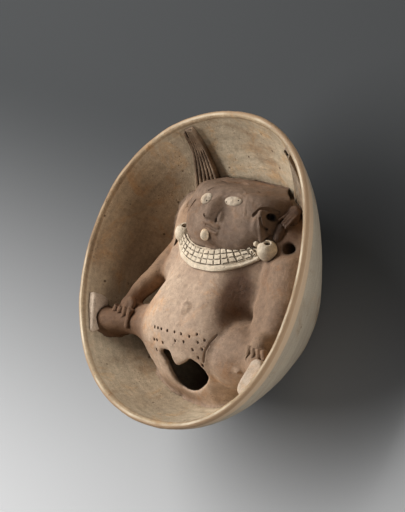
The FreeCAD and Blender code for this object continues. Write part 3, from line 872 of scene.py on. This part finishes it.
def addLamp(name, way, distance, size, power, colour=(1, 1, 1)):
    # a soft box, wide along the bowl
    lamp = bpy.data.lights.new(name, "AREA")
    lamp.shape = "RECTANGLE"
    lamp.size, lamp.size_y = size
    lamp.energy = power
    lamp.color = colour
    holder = bpy.data.objects.new(name, lamp)
    bpy.context.scene.collection.objects.link(holder)
    way = Vector(way).normalized()
    holder.location = Vector((0, 0, 0.05)) + way * distance
    holder.rotation_euler = way.to_track_quat("Z", "Y").to_euler()


# The photograph's view: its directions, its distance and, in metres, its height and the aim's
# place beside the middle of the mouth
view = {"right": (0.6255, 0.3015, -0.7194), "up": (-0.1764, 0.9531, 0.2459), "away": 5.0,
        "height": 0.444416, "aside": 0.01025, "above": 0.00947, "sensor": 36}


def makeCamera():
    right = Vector(view["right"]).normalized()
    up = Vector(view["up"])
    back = right.cross(up).normalized()
    up = back.cross(right).normalized()
    aim = spot(0, 0, 1) + view["aside"] * right + view["above"] * up
    lens = bpy.data.cameras.new("photoCamera")
    lens.sensor_fit = "VERTICAL"
    lens.sensor_height = view["sensor"]
    lens.lens = view["sensor"] * view["away"] / view["height"]
    lens.clip_end = 50
    camera = bpy.data.objects.new("photoCamera", lens)
    bpy.context.scene.collection.objects.link(camera)
    turn = Matrix((right, up, back)).transposed().to_4x4()
    camera.matrix_world = Matrix.Translation(aim + back * view["away"]) @ turn
    bpy.context.scene.camera = camera


# Making
makeCamera()
shell = makeShell()
print("bowl shell", len(shell.data.polygons))
body = makeBody(shell)
print("body", len(body.data.polygons))
head = makeHead(shell, body)
print("head", len(head.data.polygons))
headFeeler = feelerOf(head)
eyeLeft = makeEye("leftEye", headFeeler, trims["eyeLeft"], ((0.165, 0.462), (0.072, 0.435)))
eyeRight = makeEye("rightEye", headFeeler, trims["eyeRight"], ((-0.105, 0.412),))
band = makeCollar(body, head)
print("collar", len(band.data.polygons))
labret = softCopy("labret", "labretPlug", 0.0005, 2)
spoolLeft = softCopy("left_ear_spool", "leftEarSpool", 0.0007, 2)
spoolPellet = lump(spot(0.338, 0.244, 0.78), (0.0026, 0.0026, 0.0026))
spoolLeft = worked(joined([spoolLeft, spoolPellet], "leftEarSpool"), 0.0006, 1)
spoolRight = softCopy("right_ear_spool", "rightEarSpool", 0.0007, 2)
lockLeft = makeLock("left", "leftHairLock", shell)
lockRight = makeLock("right", "rightHairLock", shell)
print("hair locks", len(lockLeft.data.polygons), len(lockRight.data.polygons))
footLeft = softCopy("left_foot", "leftFoot", 0.0009, 4, 0.0012, cutters=(shell,))
footRight = softCopy("right_foot", "rightFoot", 0.0009, 4, 0.0012, cutters=(shell,))
handLeft = makeHand("left", "leftHand", body)
handRight = makeHand("right", "rightHand", body)
baseSlab = slab(shell, "baseSlab", 0.0, bowl["floor"])
bowlWall = slab(shell, "bowlWall", bowl["floor"], bowl["seat"])
rimCoil = slab(shell, "rimCoil", bowl["seat"], None)
bpy.data.objects.remove(shell)

# painted shade on the wall: middle, reach and tone, in metres
wallPaintedShade = (
    ((-0.125, 0.045, 0.060), (0.045, 0.090, 0.060), (0.66, 0.57, 0.48)),  # painted shade inside, at the figure's right, where the wall faces away from the light
    ((0.000, 0.000, 0.010), (0.070, 0.095, 0.030), (0.25, 0.20, 0.16)),  # painted shade on the wall under the figure
    ((0.020, -0.120, 0.010), (0.110, 0.050, 0.026), (0.66, 0.62, 0.60)),  # painted shade darkening the foot of the outside
)
wallClay = wallMaterial("wallSlip", (0.445, 0.34, 0.225), (0.56, 0.45, 0.31), (0.15, 0.095, 0.055),
                        (0.33, 0.285, 0.22), (0.72, 0.60, 0.43), (0.52, 0.37, 0.24), wallPaintedShade)
# darker patches on the body, painted shade where marked, the rest clay tone: middle, reach and tone, in
# metres
bodyPatchesAndShade = (
    ((0.110, 0.000, 0.070), (0.075, 0.110, 0.080), (0.58, 0.52, 0.46)),  # left arm and leg: partly browner clay tone, partly painted shade where they face away from the light
    ((-0.105, -0.055, 0.070), (0.050, 0.042, 0.070), (0.36, 0.27, 0.20)),  # painted shadow of the rim on the right leg
    ((-0.094, 0.010, 0.062), (0.024, 0.052, 0.032), (0.56, 0.47, 0.38)),  # right arm: partly browner clay tone, partly painted shade
    ((-0.064, 0.070, 0.064), (0.018, 0.026, 0.022), (0.66, 0.58, 0.50)),  # right shoulder
    ((0.039, 0.004, 0.075), (0.0120, 0.028, 0.024), (0.42, 0.33, 0.27)),  # painted shade in the hollow of the flank
    ((0.066, 0.074, 0.060), (0.019, 0.020, 0.020), (0.52, 0.44, 0.38)),  # nape behind the left ear
    ((0.0754, 0.0542, 0.056), (0.0058, 0.0058, 0.0220), (0.03, 0.02, 0.01)),  # painted shade: near black inside the left vent
    ((-0.0711, 0.0353, 0.056), (0.0058, 0.0058, 0.0220), (0.03, 0.02, 0.01)),  # painted shade: near black inside the right vent
)
# darker patches on the head: hair tone, and painted shade in the ear hole; middle, reach and tone, in metres
headPatchesAndShade = (
    ((0.000, 0.124, 0.080), (0.075, 0.026, 0.040), (0.62, 0.55, 0.50)),  # hair over the crown
    ((0.0560, 0.0762, 0.0725), (0.0070, 0.0036, 0.0036), (0.03, 0.02, 0.01)),  # painted shade: near black in the hole of the ear
    ((0.072, 0.078, 0.060), (0.016, 0.028, 0.030), (0.50, 0.42, 0.36)),  # hair behind the left ear
)
skinClay = clayMaterial("skinClay", (0.385, 0.262, 0.178), (0.52, 0.375, 0.265), (0.10, 0.055, 0.032),
                        darkAmount=0.45, clouds=bodyPatchesAndShade)
faceClay = clayMaterial("faceClay", (0.150, 0.094, 0.060), (0.250, 0.168, 0.114), (0.05, 0.030, 0.019),
                        26.0, 0.5, clouds=headPatchesAndShade)
creamSlip = clayMaterial("creamSlip", (0.58, 0.465, 0.33), (0.70, 0.58, 0.43), (0.06, 0.034, 0.018),
                         60.0, 0.15, 0.4, 1.5, reach=0.0020)
# a paler copy of the hair clay for the left lock: partly paler clay, partly painted light on the lock that
# faces the light
hairPaleAndLit = clayMaterial("hairPaleAndLit", (0.27, 0.195, 0.130), (0.40, 0.31, 0.215), (0.030, 0.018, 0.010),
                        40.0, 0.3, 0.5, 1.4, reach=0.0022)
eyeSlip = clayMaterial("eyeSlip", (0.40, 0.315, 0.225), (0.54, 0.44, 0.33), (0.06, 0.034, 0.018),
                       60.0, 0.25, 0.4, 1.5, reach=0.0020)
# a paler clay on the soles: painted light, brighter than the clay so the soles read as lit
solePaintedLight = clayMaterial("solePaintedLight", (0.48, 0.365, 0.265), (0.60, 0.48, 0.36), (0.20, 0.13, 0.09))
hairClay = clayMaterial("hairClay", (0.13, 0.080, 0.046), (0.30, 0.205, 0.130), (0.016, 0.008, 0.005),
                        40.0, 0.4, 0.5, 1.6, reach=0.0026)

dressed = (
    (baseSlab, wallClay, "bowl_clay", ("base_slab",)),
    (bowlWall, wallClay, "bowl_clay", ("bowl_wall",)),
    (rimCoil, wallClay, "rim_slip", ("rim_coil",)),
    (body, skinClay, "figure_clay", ("torso", "left_leg", "right_leg", "left_arm", "right_arm", "front_tab",
                                     "navel", "ankle_mark")),
    (head, faceClay, "face_clay", ("head", "nose", "lips", "left_ear", "right_ear")),
    (eyeLeft, eyeSlip, "cream_slip", ("left_eye",)),
    (eyeRight, eyeSlip, "cream_slip", ("right_eye",)),
    (band, creamSlip, "cream_slip", ("bead_collar",)),
    (labret, creamSlip, "cream_slip", ("labret",)),
    (spoolLeft, creamSlip, "cream_slip", ("left_ear_spool",)),
    (spoolRight, creamSlip, "cream_slip", ("right_ear_spool",)),
    (lockLeft, hairPaleAndLit, "hair_clay", ("left_hair_lock",)),
    (lockRight, hairClay, "hair_clay", ("right_hair_lock",)),
    (footLeft, solePaintedLight, "sole_slip", ("left_foot",)),
    (footRight, solePaintedLight, "sole_slip", ("right_foot",)),
    (handLeft, skinClay, "figure_clay", ("left_hand",)),
    (handRight, skinClay, "figure_clay", ("right_hand",)),
)
for piece, clay, slot, replaced in dressed:
    piece.data.materials.clear()
    piece.data.materials.append(clay)
    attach(piece, "root")
    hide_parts(*replaced)

makeStage()
bpy.context.scene.view_settings.view_transform = "Standard"
addLamp("key", (-0.65, 0.08, 0.75), 1.6, (2.3, 0.45), 52)
addLamp("fill", (0.9, -0.15, 0.45), 2.0, (1.2, 1.2), 3.0)
addLamp("low", (1.0, 0.10, 0.12), 1.6, (0.6, 0.25), 13)
world = bpy.data.worlds.new("studio")
bpy.context.scene.world = world
world.use_nodes = True
world.node_tree.nodes["Background"].inputs["Color"].default_value = (0.8, 0.82, 0.85, 1)
world.node_tree.nodes["Background"].inputs["Strength"].default_value = 0.09
